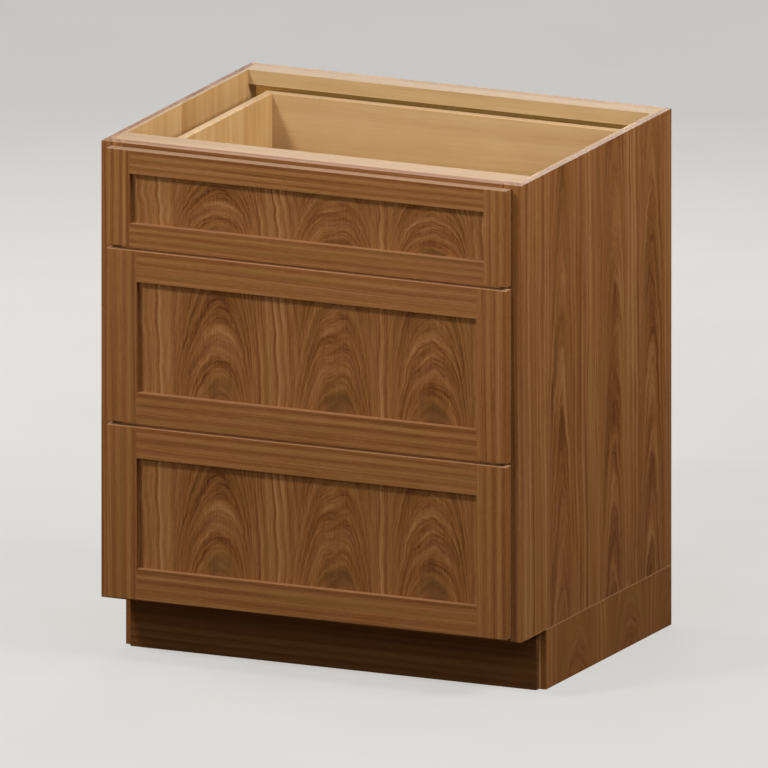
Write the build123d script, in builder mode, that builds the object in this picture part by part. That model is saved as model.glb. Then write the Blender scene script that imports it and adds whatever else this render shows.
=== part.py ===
from build123d import *
import os
from dataclasses import dataclass

# Base cabinet with three drawers. Millimetres, +Z up, the front faces -Y, and the origin is on the floor at the
# centre of the closed cabinet's footprint.

# Case
case_width = 762.0
case_height = 876.3
case_depth = 594.0  # from the face frame's front to the wall
side_thickness = 16.0
back_thickness = 16.0
deck_thickness = 16.0
housing_depth = 6.0  # how far the deck and the back are let into the sides

# Stretchers across the open top
front_stretcher_depth = 47.1
front_stretcher_thickness = 16.0
back_stretcher_depth = 31.0
back_stretcher_height = 24.4

# Face frame
frame_thickness = 22.0
frame_stile_width = 38.1
top_rail_height = 25.4
middle_rail_height = 38.1
bottom_rail_height = 38.1
frame_tenon_length = 14.0
frame_tenon_thickness = 8.0
frame_tenon_shoulder = 5.0
frame_easing = 0.8

# Plinth
plinth_height = 101.6
plinth_thickness = 16.0
toe_setback = 87.0  # from the face frame's front to the toe-kick board's face
toe_board_thickness = 11.0
toe_board_inset = 13.0

# Drawer fronts: stiles, rails and a flat panel in a rebate behind them
front_thickness = 19.0
front_panel_thickness = 6.35
front_panel_lip = 12.7
front_easing = 1.0
front_tongue_length = 10.0
front_tongue_thickness = 6.35
front_tongue_shoulder = 8.0
shallow_front_stile = 41.3
shallow_front_rail = 39.2
deep_front_stile = 54.3
deep_front_rail = 52.3
top_front_height = 163.5
side_reveal = 18.35
top_reveal = 6.35
bottom_reveal = 6.35
front_gap = 6.35

# Drawer boxes, dovetailed at all four corners
box_wall = 15.9
box_clearance_below = 11.1
box_clearance_above = 6.0
box_clearance_behind = 31.5
box_edge_round = 1.6
bottom_thickness = 6.35
bottom_rise = 12.7  # from the box's lower edge to the bottom's underside
bottom_groove_depth = 6.35
tail_pitch = 27.0
pin_width = 6.5  # the pins' narrow side
tail_slope = 0.15

# Telescopic slides: outer member on the case, middle member, inner member on the drawer
slide_thickness = 12.7
slide_height = 45.0
slide_sheet = 1.2
slide_bend = 1.0
slide_lip = 2.0
slide_play = 0.3  # between two members
slide_box_gap = 2.5  # from the outer member's lips to the drawer box
slide_rise = 45.0  # from the drawer box's lower edge to the slide's middle line
slide_front_setback = 3.2
slide_back_setback = 9.9
slide_hook_width = 1.2
cleat_height = 60.0
lever_setback = 300.0  # from the slide's front end to the release lever
lever_length = 62.0
lever_width = 9.0
lever_thumb_width = 16.0
lever_thickness = 3.0

# Places that follow from the sizes above
half_width = case_width / 2
inner_half = half_width - side_thickness
opening_half = half_width - frame_stile_width
box_half = opening_half - slide_thickness
front_half = half_width - side_reveal
wall_y = (case_depth + front_thickness) / 2
back_y = wall_y - back_thickness
frame_y = wall_y - case_depth
case_y = frame_y + frame_thickness
front_y = frame_y - front_thickness
panel_y = frame_y - front_panel_thickness
toe_y = frame_y + toe_setback
plinth_y = toe_y + toe_board_thickness
deck_top = plinth_height + bottom_rail_height
deck_low = deck_top - deck_thickness
box_back_y = back_y - box_clearance_behind
slide_y = frame_y + slide_front_setback
slide_length = box_back_y - slide_back_setback - slide_y
fronts_low = plinth_height + bottom_reveal
fronts_high = case_height - top_reveal
deep_front_height = (fronts_high - fronts_low - top_front_height - 2 * front_gap) / 2
upper_gap_z = fronts_high - top_front_height - front_gap / 2
lower_gap_z = fronts_low + deep_front_height + front_gap / 2

# Face frame rails, from their lower to their upper edge. The middle ones are centred behind the fronts' gaps.
top_rail = (case_height - top_rail_height, case_height)
upper_rail = (upper_gap_z - middle_rail_height / 2, upper_gap_z + middle_rail_height / 2)
lower_rail = (lower_gap_z - middle_rail_height / 2, lower_gap_z + middle_rail_height / 2)
bottom_rail = (plinth_height, deck_top)
frame_rails = {
    "frame_top_rail": top_rail,
    "frame_upper_rail": upper_rail,
    "frame_lower_rail": lower_rail,
    "frame_bottom_rail": bottom_rail,
}


@dataclass
class Drawer:
    """One drawer: where its applied front and its opening in the face frame start and end."""

    name: str
    front_low: float
    front_high: float
    opening_low: float
    opening_high: float
    stile: float
    rail: float

    @property
    def box_low(self):
        return self.opening_low + box_clearance_below

    @property
    def box_high(self):
        return self.opening_high - box_clearance_above

    @property
    def bottom_z(self):
        return self.box_low + bottom_rise

    @property
    def slide_z(self):
        return self.box_low + slide_rise


drawers = [
    Drawer(
        "top_drawer",
        upper_gap_z + front_gap / 2,
        fronts_high,
        upper_rail[1],
        top_rail[0],
        shallow_front_stile,
        shallow_front_rail,
    ),
    Drawer(
        "middle_drawer",
        lower_gap_z + front_gap / 2,
        upper_gap_z - front_gap / 2,
        lower_rail[1],
        upper_rail[0],
        deep_front_stile,
        deep_front_rail,
    ),
    Drawer(
        "bottom_drawer",
        fronts_low,
        lower_gap_z - front_gap / 2,
        deck_top,
        lower_rail[0],
        deep_front_stile,
        deep_front_rail,
    ),
]


def facing_front(y):
    """Upright plane at depth y: its x runs to the right, its y runs up, and it looks out of the front."""
    return Plane.XZ.offset(-y)


def facing_right(x):
    """Upright plane at x: its x runs to the back, its y runs up, and it looks to the right."""
    return Plane.YZ.offset(x)


def facing_up(z):
    """Level plane at height z: its x runs to the right and its y to the back."""
    return Plane.XY.offset(z)


def span(left, right, low, high, mode=Mode.ADD):
    """Rectangle between four limits of the sketch's own axes."""
    with Locations(((left + right) / 2, (low + high) / 2)):
        Rectangle(right - left, high - low, mode=mode)


def save(part, name):
    """Label a finished piece and write it."""
    part.label = name
    export_step(part, f"parts/{name}.step")


def twin(part):
    """The same piece for the other side of the cabinet."""
    with BuildPart() as other:
        mirror(part, about=Plane.YZ)
    return other.part


# Case


def side_panel():
    """Left side panel, housed for the deck and rebated for the back."""
    with BuildPart() as panel:
        with BuildSketch(facing_right(-half_width)):
            span(case_y, wall_y, plinth_height, case_height)
        extrude(amount=side_thickness)
        with BuildSketch(facing_right(-inner_half - housing_depth)):
            span(case_y, back_y, deck_low, deck_top)
            span(back_y, wall_y, plinth_height, case_height)
        extrude(amount=housing_depth, mode=Mode.SUBTRACT)
    return panel.part


def deck_panel():
    """Floor of the case, flush with the bottom rail's upper edge."""
    with BuildPart() as deck:
        with BuildSketch(facing_up(deck_low)):
            span(-inner_half - housing_depth, inner_half + housing_depth, case_y, back_y)
        extrude(amount=deck_thickness)
    return deck.part


def back_panel():
    """Back of the case, let into the rear edges of the sides."""
    with BuildPart() as back:
        with BuildSketch(facing_front(back_y)):
            span(-inner_half - housing_depth, inner_half + housing_depth, plinth_height, case_height)
        extrude(amount=-back_thickness)
    return back.part


def front_stretcher():
    """Flat rail behind the face frame's top rail."""
    with BuildPart() as stretcher:
        with BuildSketch(facing_up(case_height)):
            span(-inner_half, inner_half, case_y, case_y + front_stretcher_depth)
        extrude(amount=-front_stretcher_thickness)
    return stretcher.part


def back_stretcher():
    """Rail along the top of the back panel."""
    with BuildPart() as stretcher:
        with BuildSketch(facing_up(case_height)):
            span(-inner_half, inner_half, back_y - back_stretcher_depth, back_y)
        extrude(amount=-back_stretcher_height)
    return stretcher.part


def slide_cleats():
    """Cleats that pack the slides out from the sides to the edge of the face frame's opening."""
    with BuildPart() as cleats:
        with BuildSketch(facing_front(case_y)):
            for drawer in drawers:
                low = drawer.slide_z - cleat_height / 2
                span(-inner_half, -opening_half, low, low + cleat_height)
        extrude(amount=case_y - back_y)
        mirror(about=Plane.YZ)
    return cleats.part


# Face frame


def frame_tenon(rail):
    """Upright section of the tenon that runs through a rail and stands out at both of its ends."""
    low, high = rail
    reach = opening_half + frame_tenon_length
    with BuildSketch(facing_front(frame_y + (frame_thickness - frame_tenon_thickness) / 2)) as tenon:
        span(-reach, reach, low + frame_tenon_shoulder, high - frame_tenon_shoulder)
    return tenon.sketch


def frame_stile():
    """Left stile of the face frame, mortised for the four rails."""
    with BuildPart() as stile:
        with BuildSketch(facing_front(frame_y)):
            span(-half_width, -opening_half, plinth_height, case_height)
        extrude(amount=-frame_thickness)
        corner = stile.edges().filter_by(Axis.Z).group_by(Axis.X)[0].sort_by(Axis.Y)[0]
        fillet(corner, radius=frame_easing)
        for rail in frame_rails.values():
            extrude(frame_tenon(rail), amount=-frame_tenon_thickness, mode=Mode.SUBTRACT)
    return stile.part


def frame_rail(rail):
    """Rail of the face frame, with a stub tenon at each end."""
    low, high = rail
    with BuildPart() as piece:
        with BuildSketch(facing_front(frame_y)):
            span(-opening_half, opening_half, low, high)
        extrude(amount=-frame_thickness)
        extrude(frame_tenon(rail), amount=-frame_tenon_thickness)
    return piece.part


# Plinth


def plinth_side():
    """Left side of the plinth, under the side panel."""
    with BuildPart() as side:
        with BuildSketch(facing_right(-half_width)):
            span(plinth_y, wall_y, 0, plinth_height)
        extrude(amount=plinth_thickness)
    return side.part


def plinth_front_rail():
    """Rail behind the toe-kick board, which carries the deck."""
    with BuildPart() as rail:
        with BuildSketch(facing_front(plinth_y)):
            span(-half_width + plinth_thickness, half_width - plinth_thickness, 0, plinth_height)
            span(-inner_half, inner_half, plinth_height, deck_low)
        extrude(amount=-plinth_thickness)
    return rail.part


def plinth_back_rail():
    """Rail under the back panel."""
    with BuildPart() as rail:
        with BuildSketch(facing_front(wall_y - plinth_thickness)):
            span(-half_width + plinth_thickness, half_width - plinth_thickness, 0, plinth_height)
        extrude(amount=-plinth_thickness)
    return rail.part


def toe_kick_board():
    """Board in front of the plinth, short of its outer faces at both ends."""
    with BuildPart() as board:
        with BuildSketch(facing_front(toe_y)):
            span(-half_width + toe_board_inset, half_width - toe_board_inset, 0, plinth_height)
        extrude(amount=-toe_board_thickness)
    return board.part


# Drawer fronts


def panel_outline(drawer):
    """The flat panel's outline: the field between the stiles and rails and the lip behind them."""
    side = front_half - drawer.stile + front_panel_lip
    edge = drawer.rail - front_panel_lip
    with BuildSketch(facing_front(panel_y)) as outline:
        span(-side, side, drawer.front_low + edge, drawer.front_high - edge)
    return outline.sketch


def rail_tongues(drawer):
    """The tongues that run through both rails of a front and into its stiles."""
    reach = front_half - drawer.stile + front_tongue_length
    with BuildSketch(facing_front(panel_y - front_tongue_thickness)) as tongues:
        span(-reach, reach, drawer.front_low + front_tongue_shoulder, drawer.front_low + drawer.rail)
        span(-reach, reach, drawer.front_high - drawer.rail, drawer.front_high - front_tongue_shoulder)
    return tongues.sketch


def front_stile(drawer):
    """Left stile of a drawer front."""
    with BuildPart() as stile:
        with BuildSketch(facing_front(front_y)):
            span(-front_half, -front_half + drawer.stile, drawer.front_low, drawer.front_high)
        extrude(amount=-front_thickness)
        outer_edges = stile.edges().group_by(Axis.Y)[0].sort_by(Axis.X)[:-1]
        fillet(outer_edges, radius=front_easing)
        extrude(rail_tongues(drawer), amount=-front_tongue_thickness, mode=Mode.SUBTRACT)
        extrude(panel_outline(drawer), amount=-front_panel_thickness, mode=Mode.SUBTRACT)
    return stile.part


def front_rail(drawer, upper):
    """Upper or lower rail of a drawer front, with a tongue at each end."""
    half = front_half - drawer.stile
    reach = half + front_tongue_length
    low = drawer.front_high - drawer.rail if upper else drawer.front_low
    high = low + drawer.rail
    outer = -1 if upper else 0
    tongue_low = low if upper else low + front_tongue_shoulder
    tongue_high = high - front_tongue_shoulder if upper else high
    with BuildPart() as rail:
        with BuildSketch(facing_front(front_y)):
            span(-half, half, low, high)
        extrude(amount=-front_thickness)
        outer_edge = rail.edges().group_by(Axis.Y)[0].sort_by(Axis.Z)[outer]
        fillet(outer_edge, radius=front_easing)
        with BuildSketch(facing_front(panel_y - front_tongue_thickness)):
            span(-reach, reach, tongue_low, tongue_high)
        extrude(amount=-front_tongue_thickness)
        extrude(panel_outline(drawer), amount=-front_panel_thickness, mode=Mode.SUBTRACT)
    return rail.part


def front_panel(drawer):
    """Flat panel of a drawer front, flush with its back."""
    with BuildPart() as panel:
        extrude(panel_outline(drawer), amount=-front_panel_thickness)
    return panel.part


# Drawer boxes


def dovetails(drawer, x):
    """The tails at both ends of a box side, seen from the side, on the upright plane at x."""
    height = drawer.box_high - drawer.box_low
    count = max(1, round(height / tail_pitch))
    pitch = height / count
    tip = (pitch - pin_width) / 2
    root = tip - box_wall * tail_slope
    front_root = frame_y + box_wall
    back_root = box_back_y - box_wall
    with BuildSketch(facing_right(x)) as tails:
        with Locations(*[(0, drawer.box_low + (i + 0.5) * pitch) for i in range(count)]):
            Polygon((frame_y, -tip), (front_root, -root), (front_root, root), (frame_y, tip), align=None)
            Polygon((back_root, -root), (box_back_y, -tip), (box_back_y, tip), (back_root, root), align=None)
    return tails.sketch


def bottom_outline(drawer):
    """Outline of a drawer's bottom, grooves included, at its underside."""
    side = box_half - box_wall + bottom_groove_depth
    inset = box_wall - bottom_groove_depth
    with BuildSketch(facing_up(drawer.bottom_z)) as outline:
        span(-side, side, frame_y + inset, box_back_y - inset)
    return outline.sketch


def box_side(drawer):
    """Left side of a drawer box, with its tails and the bottom's groove."""
    with BuildPart() as side:
        with BuildSketch(facing_right(-box_half)):
            span(frame_y + box_wall, box_back_y - box_wall, drawer.box_low, drawer.box_high)
        extrude(amount=box_wall)
        fillet(side.edges().filter_by(Axis.Y).group_by(Axis.Z)[-1], radius=box_edge_round)
        extrude(dovetails(drawer, -box_half), amount=box_wall)
        extrude(bottom_outline(drawer), amount=bottom_thickness, mode=Mode.SUBTRACT)
    return side.part


def box_end(drawer, outer_y, inner_y):
    """Front or back of a drawer box, with its pins and the bottom's groove."""
    with BuildPart() as end:
        with BuildSketch(facing_front(outer_y)):
            span(-box_half, box_half, drawer.box_low, drawer.box_high)
        extrude(amount=outer_y - inner_y)
        fillet(end.edges().filter_by(Axis.X).group_by(Axis.Z)[-1], radius=box_edge_round)
        for x in (-box_half, box_half - box_wall):
            extrude(dovetails(drawer, x), amount=box_wall, mode=Mode.SUBTRACT)
        extrude(bottom_outline(drawer), amount=bottom_thickness, mode=Mode.SUBTRACT)
    return end.part


def box_bottom(drawer):
    """Bottom of a drawer box, held in grooves on all four sides."""
    with BuildPart() as bottom:
        extrude(bottom_outline(drawer), amount=bottom_thickness)
    return bottom.part


# Slides. Each member's section is drawn for the left side, from the opening's edge towards the drawer box.

outer_lip_x = -box_half - slide_box_gap
middle_web_x = -opening_half + slide_sheet + slide_play
middle_lip_x = outer_lip_x - slide_sheet - slide_play
middle_half_height = slide_height / 2 - slide_sheet - slide_play
middle_mouth = middle_half_height - slide_sheet - slide_lip
inner_half_height = middle_mouth - slide_play
inner_hook_half = middle_half_height - slide_sheet - slide_play
inner_hook_x = middle_lip_x - slide_sheet - slide_play


def channel_section(web_x, lip_x, z, half_height):
    """Rolled C-section, open towards the drawer box, with turned-in lips that keep the next member in."""
    mouth = half_height - slide_sheet - slide_lip
    with BuildSketch(facing_front(slide_y)) as section:
        span(web_x, lip_x, z - half_height, z + half_height)
        fillet(section.vertices(), radius=slide_bend)
        inside = half_height - slide_sheet
        span(web_x + slide_sheet, lip_x - slide_sheet, z - inside, z + inside, mode=Mode.SUBTRACT)
        span(lip_x - slide_sheet, lip_x, z - mouth, z + mouth, mode=Mode.SUBTRACT)
    return section.sketch


def hat_section(z):
    """Rolled hat section, open towards the case, with turned-out hooks behind the middle member's lips."""
    web_x = -box_half - slide_sheet
    inside = inner_half_height - slide_sheet
    with BuildSketch(facing_front(slide_y)) as section:
        span(inner_hook_x - slide_hook_width, -box_half, z - inner_half_height, z + inner_half_height)
        fillet(section.vertices().group_by(Axis.X)[-1], radius=slide_bend)
        span(inner_hook_x - slide_hook_width, inner_hook_x, z - inner_hook_half, z + inner_hook_half)
        span(inner_hook_x - slide_hook_width, web_x, z - inside, z + inside, mode=Mode.SUBTRACT)
    return section.sketch


def outer_members(drawer):
    """Both outer members of a drawer's slides, screwed to the cleats."""
    with BuildPart() as members:
        section = channel_section(-opening_half, outer_lip_x, drawer.slide_z, slide_height / 2)
        extrude(section, amount=-slide_length)
        mirror(about=Plane.YZ)
    return members.part


def middle_members(drawer):
    """Both middle members, nested in the outer ones."""
    with BuildPart() as members:
        section = channel_section(middle_web_x, middle_lip_x, drawer.slide_z, middle_half_height)
        extrude(section, amount=-slide_length)
        mirror(about=Plane.YZ)
    return members.part


def inner_members(drawer):
    """Both inner members, screwed to the drawer box."""
    with BuildPart() as members:
        extrude(hat_section(drawer.slide_z), amount=-slide_length)
        mirror(about=Plane.YZ)
    return members.part


def release_levers(drawer):
    """Moulded levers on the inner members' webs, which let the drawer off its slides."""
    start = slide_y + lever_setback
    end = start + lever_length
    half = lever_width / 2
    with BuildPart() as levers:
        with BuildSketch(facing_right(-box_half - slide_sheet)) as outline:
            with Locations((0, drawer.slide_z)):
                Polygon(
                    (start, -half),
                    (end - lever_thumb_width, -half),
                    (end, half - lever_thumb_width),
                    (end, half),
                    (start, half),
                    align=None,
                )
            fillet(outline.vertices().sort_by(Axis.Y)[:2], radius=half / 2)
        extrude(amount=-lever_thickness)
        mirror(about=Plane.YZ)
    return levers.part


def build_case():
    side = side_panel()
    save(side, "left_side_panel")
    save(twin(side), "right_side_panel")
    save(deck_panel(), "deck_panel")
    save(back_panel(), "back_panel")
    save(front_stretcher(), "front_stretcher")
    save(back_stretcher(), "back_stretcher")
    save(slide_cleats(), "slide_cleats")


def build_face_frame():
    stile = frame_stile()
    save(stile, "frame_left_stile")
    save(twin(stile), "frame_right_stile")
    for name, rail in frame_rails.items():
        save(frame_rail(rail), name)


def build_plinth():
    side = plinth_side()
    save(side, "plinth_left_side")
    save(twin(side), "plinth_right_side")
    save(plinth_front_rail(), "plinth_front_rail")
    save(plinth_back_rail(), "plinth_back_rail")
    save(toe_kick_board(), "toe_kick_board")


def build_drawer(drawer):
    stile = front_stile(drawer)
    save(stile, f"{drawer.name}_front_left_stile")
    save(twin(stile), f"{drawer.name}_front_right_stile")
    save(front_rail(drawer, upper=True), f"{drawer.name}_front_upper_rail")
    save(front_rail(drawer, upper=False), f"{drawer.name}_front_lower_rail")
    save(front_panel(drawer), f"{drawer.name}_front_panel")
    side = box_side(drawer)
    save(side, f"{drawer.name}_box_left_side")
    save(twin(side), f"{drawer.name}_box_right_side")
    save(box_end(drawer, frame_y, frame_y + box_wall), f"{drawer.name}_box_front")
    save(box_end(drawer, box_back_y, box_back_y - box_wall), f"{drawer.name}_box_back")
    save(box_bottom(drawer), f"{drawer.name}_box_bottom")
    save(outer_members(drawer), f"{drawer.name}_slide_outer_members")
    save(middle_members(drawer), f"{drawer.name}_slide_middle_members")
    save(inner_members(drawer), f"{drawer.name}_slide_inner_members")
    save(release_levers(drawer), f"{drawer.name}_slide_release_levers")


os.makedirs("parts", exist_ok=True)
build_case()
build_face_frame()
build_plinth()
for drawer in drawers:
    build_drawer(drawer)
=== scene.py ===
import math

import bpy
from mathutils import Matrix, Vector


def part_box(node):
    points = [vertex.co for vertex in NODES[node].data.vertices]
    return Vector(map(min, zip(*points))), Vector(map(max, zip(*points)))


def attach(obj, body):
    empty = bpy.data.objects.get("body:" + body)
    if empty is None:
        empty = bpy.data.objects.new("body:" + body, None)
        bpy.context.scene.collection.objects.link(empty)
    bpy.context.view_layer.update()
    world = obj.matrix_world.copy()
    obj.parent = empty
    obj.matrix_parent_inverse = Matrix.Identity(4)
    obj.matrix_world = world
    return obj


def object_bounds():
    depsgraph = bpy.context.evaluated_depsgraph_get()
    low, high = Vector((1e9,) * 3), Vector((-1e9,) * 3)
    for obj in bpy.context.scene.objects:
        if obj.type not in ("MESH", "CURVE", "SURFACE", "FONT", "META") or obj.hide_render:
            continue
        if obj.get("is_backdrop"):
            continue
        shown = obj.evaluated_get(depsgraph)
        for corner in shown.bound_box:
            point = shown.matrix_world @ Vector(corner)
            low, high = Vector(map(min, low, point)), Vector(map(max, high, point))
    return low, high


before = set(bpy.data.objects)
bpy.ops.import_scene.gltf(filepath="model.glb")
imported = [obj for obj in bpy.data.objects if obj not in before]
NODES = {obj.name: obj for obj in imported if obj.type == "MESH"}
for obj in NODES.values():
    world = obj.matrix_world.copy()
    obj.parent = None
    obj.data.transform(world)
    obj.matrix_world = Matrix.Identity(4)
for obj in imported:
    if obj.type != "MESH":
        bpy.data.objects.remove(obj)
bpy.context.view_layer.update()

DRAWERS = ("top", "middle", "bottom")
MM_PER_M = 1000.0

# ---------------------------------------------------------------- camera
CAMERA_TURN = 24.635       # degrees round the cabinet, from straight in front
CAMERA_TILT = 13.811       # degrees above the horizon
CAMERA_AIM = Vector((-0.00422, 0.00948, 0.4351))
VIEW_WIDTH = 1.2664        # metres of the cabinet's surroundings across the picture
CAMERA_DISTANCE = 12.0     # any distance gives the same picture, because the view's edges run parallel
NEAREST_SEEN, FURTHEST_SEEN = 0.1, 100.0


def set_camera():
    """A camera whose view runs parallel, as the photograph's does."""
    camera = bpy.data.objects.new("parallel_camera", bpy.data.cameras.new("parallel"))
    bpy.context.scene.collection.objects.link(camera)
    turn, tilt = math.radians(CAMERA_TURN), math.radians(CAMERA_TILT)
    back = Vector((math.sin(turn) * math.cos(tilt), -math.cos(turn) * math.cos(tilt), math.sin(tilt)))
    camera.data.type, camera.data.ortho_scale = "ORTHO", VIEW_WIDTH
    camera.location = CAMERA_AIM + back * CAMERA_DISTANCE
    camera.rotation_mode = "QUATERNION"
    camera.rotation_quaternion = (-back).to_track_quat("-Z", "Y")
    camera.data.clip_start, camera.data.clip_end = NEAREST_SEEN, FURTHEST_SEEN
    bpy.context.scene.camera = camera


# ---------------------------------------------------------------- shader building
class Value:
    """A number that changes over the surface. Arithmetic on it adds Math nodes."""

    def __init__(self, tree, socket):
        self.tree, self.socket = tree, socket

    def math(self, operation, *others, clamp=False):
        made = self.tree.nodes.new("ShaderNodeMath")
        made.operation, made.use_clamp = operation, clamp
        for socket, value in zip(made.inputs, others):
            if isinstance(value, Value):
                self.tree.links.new(value.socket, socket)
            else:
                socket.default_value = value
        return Value(self.tree, made.outputs[0])

    def __add__(self, other):
        return self.math("ADD", self, other)

    def __radd__(self, other):
        return self.math("ADD", other, self)

    def __sub__(self, other):
        return self.math("SUBTRACT", self, other)

    def __rsub__(self, other):
        return self.math("SUBTRACT", other, self)

    def __mul__(self, other):
        return self.math("MULTIPLY", self, other)

    def __rmul__(self, other):
        return self.math("MULTIPLY", other, self)

    def __truediv__(self, other):
        return self.math("DIVIDE", self, other)

    def __rtruediv__(self, other):
        return self.math("DIVIDE", other, self)

    def root(self):
        return self.math("SQRT", self)

    def size(self):
        return self.math("ABSOLUTE", self)

    def sine(self):
        return self.math("SINE", self)

    def least(self, other):
        return self.math("MINIMUM", self, other)

    def most(self, other):
        return self.math("MAXIMUM", self, other)

    def wrapped(self, low, high):
        return self.math("WRAP", self, high, low)

    def clamped(self):
        """Kept from 0 to 1."""
        return self.math("ADD", self, 0.0, clamp=True)


BUMP_STRENGTH = 0.5


def tone(red, green, blue):
    """A colour as seen on a screen, from 0 to 255, as the shader's own light values."""
    seen = (red / 255.0, green / 255.0, blue / 255.0)
    return tuple(c / 12.92 if c <= 0.04045 else ((c + 0.055) / 1.055) ** 2.4 for c in seen) + (1.0,)


class Finish:
    """One material and the nodes that paint it."""

    def __init__(self, name):
        self.material = bpy.data.materials.new(name)
        self.material.use_nodes = True
        self.tree = self.material.node_tree
        self.tree.nodes.clear()
        self.position = None

    def node(self, kind, settings=None, sockets=None):
        """A node of this kind, with its settings made first and then its sockets' values or links."""
        made = self.tree.nodes.new(kind)
        for key, value in (settings or {}).items():
            if key == "stops":
                ramp = made.color_ramp.elements
                while len(ramp) < len(value):
                    ramp.new(0.5)
                for stop, (place, colour) in zip(ramp, value):
                    stop.position, stop.color = place, colour
            else:
                setattr(made, key, value)
        for key, value in (sockets or {}).items():
            if isinstance(value, Value):
                self.tree.links.new(value.socket, made.inputs[key])
            else:
                made.inputs[key].default_value = value
        return made

    def out(self, made, key=0):
        return Value(self.tree, made.outputs[key])

    def place(self):
        """The surface point in millimetres: (x, y, z)."""
        if self.position is None:
            point = self.out(self.node("ShaderNodeTexCoord"), "Object")
            turned = self.out(self.node("ShaderNodeMapping", {}, {"Vector": point, "Scale": (MM_PER_M,) * 3}))
            split = self.node("ShaderNodeSeparateXYZ", {}, {0: turned})
            self.position = [self.out(split, i) for i in range(3)]
        return self.position

    def vector(self, x, y, z):
        return self.out(self.node("ShaderNodeCombineXYZ", {}, {0: x, 1: y, 2: z}))

    def noise(self, x, y=0.0, z=0.0, detail=2.0, rough=0.5):
        """Cloudy noise about 0, mostly within half a unit either way."""
        sockets = {"Vector": self.vector(x, y, z), "Scale": 1.0, "Detail": detail, "Roughness": rough}
        return self.out(self.node("ShaderNodeTexNoise", {"noise_dimensions": "3D"}, sockets)) - 0.5

    def cells(self, x, seed):
        """A random value from 0 to 1 for each plank of uneven width along x."""
        made = self.node("ShaderNodeTexVoronoi", {"voronoi_dimensions": "1D"},
                         {"W": x + seed, "Scale": 1.0, "Randomness": 0.9})
        return self.out(self.node("ShaderNodeSeparateColor", {}, {0: self.out(made, "Color")}), 0)

    def between(self, value, low, high):
        """0 below low, 1 above high, smooth between them."""
        made = self.node(
            "ShaderNodeMapRange",
            {"interpolation_type": "SMOOTHSTEP", "clamp": True},
            {0: value, 1: low, 2: high, 3: 0.0, 4: 1.0},
        )
        return self.out(made)

    def ramp(self, value, *stops):
        """A colour for each value, from stops of (value, colour)."""
        stops = [(place, tone(*colour)) for place, colour in stops]
        return self.out(self.node("ShaderNodeValToRGB", {"stops": stops}, {0: value}))

    def mix(self, factor, first, second):
        """The first colour where factor is 0 and the second where it is 1."""
        made = self.node("ShaderNodeMix", {"data_type": "RGBA", "clamp_factor": True},
                         {0: factor, 6: first, 7: second})
        return self.out(made, 2)

    def mix_numbers(self, factor, first, second):
        return first + (second - first) * factor

    def bump(self, height, depth_mm):
        sockets = {"Height": height, "Distance": depth_mm / MM_PER_M, "Strength": BUMP_STRENGTH}
        return self.out(self.node("ShaderNodeBump", {}, sockets))

    def surface(self, colour, roughness, normal, metallic=0.0, specular=0.5):
        sockets = {
            "Base Color": colour, "Roughness": roughness, "Metallic": metallic,
            "Specular IOR Level": specular, "Normal": normal,
        }
        shader = self.node("ShaderNodeBsdfPrincipled", {}, sockets)
        self.node("ShaderNodeOutputMaterial", {}, {"Surface": self.out(shader)})
        return self.material


# ---------------------------------------------------------------- the two woods
WOOD_GLOSS = 0.01              # a thin satin finish
GRAIN_DEPTH = 0.12             # mm between the grain's hills and its pores

WALNUT_TONES = (
    (0.0, (87, 50, 25)), (0.25, (113, 70, 36)), (0.5, (132, 86, 47)), (0.75, (146, 102, 60)),
    (1.0, (160, 118, 75)),
)
PINK_WALNUT, OLIVE_WALNUT, DARK_WALNUT = (140, 89, 60), (129, 92, 48), (90, 60, 32)
PAINTED_LIGHT_WALNUT = (232, 186, 138)  # painted light on faces in shade: the back of a front's top and faces that look down
# painted light: a pale line on a rail where it shows, in shade, through the gap between two drawer fronts
LIT_LINE_WALNUT = (246, 180, 104)
EYE_STIR = 60.0                # mm by which the rings shift the edge of the dark wood under the arches

MAPLE_TONES = (
    (0.0, (156, 121, 74)), (0.3, (171, 139, 93)), (0.55, (181, 152, 108)), (0.8, (189, 163, 121)),
    (1.0, (198, 175, 137)),
)
WARM_MAPLE_TONES = ((0.0, (186, 137, 80)), (0.5, (206, 162, 104)), (1.0, (222, 184, 130)))
# The second is painted light: a pale honey for the back's inside face in the shaded slot under the back
# stretcher.
PINK_MAPLE, SLOT_LIGHT_HONEY = (187, 151, 114), (255, 204, 110)

# Each wood is painted in a board's own directions: across the board, into its thickness and along its grain.
AXES = {"X": 0, "Y": 1, "Z": 2}


def board_place(f, across, depth, along, start):
    """The surface point in a board's own directions, in mm from start."""
    place = f.place()
    return [place[AXES[axis]] - from_mm for axis, from_mm in zip((across, depth, along), start)]


def facing(f, axis, way):
    """1 on faces that look along the axis one way, 1 or -1, and 0 on the others."""
    normal = f.out(f.node("ShaderNodeTexCoord"), "Normal")
    split = f.node("ShaderNodeSeparateXYZ", {}, {0: normal})
    return f.between(f.out(split, AXES[axis]) * way, 0.5, 0.9)


def dark_line(f, ring, aside, v, run, half_width):
    """1 on the thin dark lines where a year's growth ends, which run on for about run mm, and 0 elsewhere."""
    return 1.0 - f.between(f.noise(ring, aside, v / run, detail=1.0).size(), 0.0, half_width)


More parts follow.
